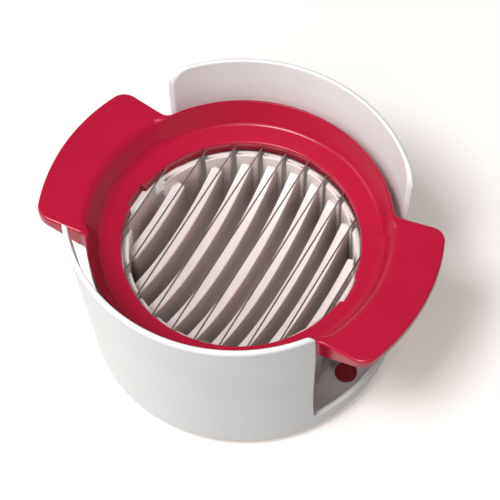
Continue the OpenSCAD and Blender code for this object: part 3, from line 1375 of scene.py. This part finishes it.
@dataclass
class Wires:
    """Ten parallel steel wires with both ends bent down into the clamp ring."""

    count: int = 10
    pitch: float = 7.2
    z: float = 38.6
    radius: float = 0.25
    columns: int = 20
    anchor_r: float = 39.228
    leg: float = 2.0
    bend_r: float = 0.7
    weld: float = 0.0005

    def path(self, x: float) -> Array:
        """Middle line of a wire, with rounded bends.

        Args:
            x: Place of the wire.

        Returns:
            Array of (y, z) of shape (points, 2).
        """
        half = np.sqrt(self.anchor_r**2 - x**2)
        corners = [
            (-half, self.z - self.leg, 0.0),
            (-half, self.z, self.bend_r),
            (0.0, self.z, 0.0),
            (half, self.z, self.bend_r),
            (half, self.z - self.leg, 0.0),
        ]
        line = rounded_path(corners, 8, 0.1)
        length = np.linalg.norm(np.diff(line, axis=0), axis=1)
        return line[np.append(True, length > GAP)]

    def tube(self, x: float) -> Array:
        """Grid of the wire's skin.

        Formula: a circle across the path, whose first axis is X and whose
        second axis is the path's direction turned by 90 degrees.

        Args:
            x: Place of the wire.

        Returns:
            Array of shape (rows, columns, 3), closed by a pole at each end.
        """
        line = self.path(x)
        along = np.gradient(line, axis=0)
        along /= np.linalg.norm(along, axis=1, keepdims=True)
        turn = np.linspace(0.0, 2.0 * np.pi, self.columns, endpoint=False)
        side, up = self.radius * np.cos(turn), self.radius * np.sin(turn)
        y = line[:, :1] - along[:, 1:] * up
        z = line[:, 1:] + along[:, :1] * up
        return capped(np.stack(np.broadcast_arrays(x + side, y, z), axis=-1))

    def build(self, material: bpy.types.Material) -> list[bpy.types.Object]:
        """Makes one object for each wire.

        Args:
            material: Drawn steel.

        Returns:
            The wires.
        """
        wires = []
        for number in range(self.count):
            shell = Shell(f"cutting_wire_{number + 1:02d}")
            shell.add(self.tube((number - (self.count - 1) / 2.0) * self.pitch))
            piece = shell.build(material, self.weld)
            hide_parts(f"wire_{number + 1:02d}")
            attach(piece, "cutter")
            wires.append(piece)
        return wires


# ------------------------------------------------------------------- the stage


def stand(
    name: str, data: bpy.types.ID, axes: Array, place: Array
) -> bpy.types.Object:
    """Adds a lamp or a camera.

    Args:
        name: The object's name.
        data: What it holds.
        axes: Its X, Y and Z axes as columns.
        place: Where it stands, in metres.

    Returns:
        The new object.
    """
    matrix = np.eye(4)
    matrix[:3, :3], matrix[:3, 3] = axes, place
    made = bpy.data.objects.new(name, data)
    made.matrix_world = Matrix(matrix.tolist())
    bpy.context.scene.collection.objects.link(made)
    return made


@dataclass(frozen=True)
class Softbox:
    """Square lamp that faces the object.

    The angles are in degrees, from +X towards +Y and above the table, lengths
    are in metres, and level is the brightness of a white surface that faces it.
    """

    name: str
    azimuth: float
    elevation: float
    distance: float
    size: float
    level: float
    aim_height: float = 0.03

    def build(self) -> bpy.types.Object:
        """Adds the lamp.

        Formula: its power is pi^2 * distance^2 * level, so that a surface
        facing it gets an irradiance of level * pi.

        Returns:
            The lamp.
        """
        light = bpy.data.lights.new(self.name, "AREA")
        light.shape = "SQUARE"
        light.size = self.size
        light.energy = np.pi**2 * self.distance**2 * self.level
        flat, up = polar(1.0, self.azimuth), np.radians(self.elevation)
        out = flat * np.cos(up) + [0.0, 0.0, np.sin(up)]
        side = np.array([-flat[1], flat[0], 0.0])
        place = out * self.distance + [0.0, 0.0, self.aim_height]
        axes = np.column_stack((side, np.cross(out, side), out))
        return stand(self.name, light, axes, place)


@dataclass(frozen=True)
class FloorPaint(Finish):
    """Floor that is pale where it is seen or mirrored, and dim as a reflector."""

    name: str = "studio_floor"
    pale: Triple = (0.84, 0.82, 0.81)
    glow: Triple = (1.0, 0.86, 0.78)
    lift: float = 0.29
    dim: Triple = (0.32, 0.31, 0.30)

    def shader(self, tree: Tree) -> Term:
        """The shader of the floor.

        Args:
            tree: Where its nodes go.

        Returns:
            The shader's output.
        """
        rays = ("Is Camera Ray", "Is Glossy Ray", "Is Transmission Ray")
        seen, mirrored, through = (
            tree.node("ShaderNodeLightPath", output=ray) for ray in rays
        )
        pale = tree.node("ShaderNodeBsdfDiffuse", Color=rgba(self.pale))
        glow = tree.node("ShaderNodeEmission", rgba(self.glow), self.lift)
        both = tree.node("ShaderNodeAddShader", pale, glow)
        dim = tree.node("ShaderNodeBsdfDiffuse", Color=rgba(self.dim))
        return tree.node("ShaderNodeMixShader", seen + mirrored + through, dim, both)


@dataclass
class Studio:
    """White floor, soft lamps and the camera."""

    focal_px: float = 2200.13
    image_px: float = 500.0
    sensor_mm: float = 36.0
    clip_m: Pair = (0.01, 20.0)
    camera_mm: Triple = (178.98, -290.27, 574.51)
    right: Triple = (0.8761, 0.4814, -0.0270)
    up: Triple = (-0.3945, 0.7480, 0.5338)
    back: Triple = (0.2772, -0.4570, 0.8452)
    floor_half: float = 2.5
    floor_rows: int = 9
    world_level: float = 0.18
    lamps: Sequence[Softbox] = (
        Softbox("key_front", -108.0, 65.0, 1.1, 0.36, 0.80),
        Softbox("fill_left", -150.0, 24.0, 1.2, 0.7, 0.19),
        Softbox("fill_front", -78.0, 50.0, 1.2, 0.8, 0.21),
    )

    def floor(self) -> bpy.types.Object:
        """Makes the floor, a flat grid at z = 0.

        Returns:
            The floor.
        """
        line = np.linspace(-self.floor_half, self.floor_half, self.floor_rows) / MM
        x, y = np.meshgrid(line, line)
        shell = Shell("studio_floor")
        shell.add(np.stack((x, y, np.zeros_like(x)), axis=-1), wrap_columns=False)
        floor = shell.build(FloorPaint().make())
        return floor

    def world(self) -> None:
        """Sets an even sky that fills the shadows and is white to the camera."""
        world = bpy.data.worlds.new("studio_sky")
        world.use_nodes = True
        bpy.context.scene.world = world
        tree, white = Tree(world.node_tree), rgba((1.0, 1.0, 1.0))
        seen = tree.node("ShaderNodeLightPath", output="Is Camera Ray")
        fill = tree.node("ShaderNodeBackground", white, self.world_level)
        sky = tree.node("ShaderNodeBackground", white, 1.0)
        mixed = tree.node("ShaderNodeMixShader", seen, fill, sky)
        tree.node("ShaderNodeOutputWorld", mixed)

    def camera(self) -> bpy.types.Object:
        """Makes the camera from its three axes and its place.

        Formula: the axes are given to four digits, so the nearest true rotation
        is taken from their singular value decomposition.

        Returns:
            The camera, set as the scene's.
        """
        data = bpy.data.cameras.new("camera")
        data.sensor_fit = "HORIZONTAL"
        data.sensor_width = self.sensor_mm
        data.lens = self.sensor_mm * self.focal_px / self.image_px
        data.clip_start, data.clip_end = self.clip_m
        axes = np.column_stack((self.right, self.up, self.back))
        first, _, last = np.linalg.svd(axes)
        camera = stand("camera", data, first @ last, np.array(self.camera_mm) * MM)
        bpy.context.scene.camera = camera
        return camera

    def build(self) -> None:
        """Puts the stage together."""
        bpy.context.scene.view_settings.view_transform = "Standard"
        self.camera()
        self.floor()
        self.world()
        for lamp in self.lamps:
            lamp.build()


# ---------------------------------------------------------------------- main


WHITE = MouldedPlastic("cup_plastic", (0.91, 0.925, 0.92), (0.89, 0.905, 0.90), 0.3)
# The cradle is white plastic; the pink tint of its colour and deep colour is painted
# reflection of red light from the frame.
PALE_WITH_PAINTED_BOUNCE = MouldedPlastic(
    "cradle_plastic",
    (0.90, 0.81, 0.78),
    (0.88, 0.785, 0.75),
    0.34,
    clouds=Pattern(9.0, 3.0),
    subsurface=0.3,
)
RED = MouldedPlastic(
    "cutter_plastic",
    (0.50, 0.006, 0.043),
    (0.475, 0.005, 0.038),
    0.24,
    peel=Pattern(1.2),
    specular=0.42,
    subsurface=0.25,
    glow=(1.0, 0.04, 0.08),
)


def main() -> None:
    """Builds the stage and every piece in order, and reports each."""
    logging.basicConfig(level=logging.INFO, format="%(message)s")
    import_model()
    Studio().build()
    red, steel = RED.make(), DrawnSteel().make()
    pieces = [
        Cup().build(WHITE.make()),
        Cradle().build(PALE_WITH_PAINTED_BOUNCE.make()),
        *Feet().build(SoftRubber().make()),
        CutterFrame().build(red),
        ClampRing().build(red),
        *Wires().build(steel),
    ]
    for piece in pieces:
        LOG.info("%s: %d faces", piece.name, len(piece.data.polygons))


if __name__ == "__main__":
    main()
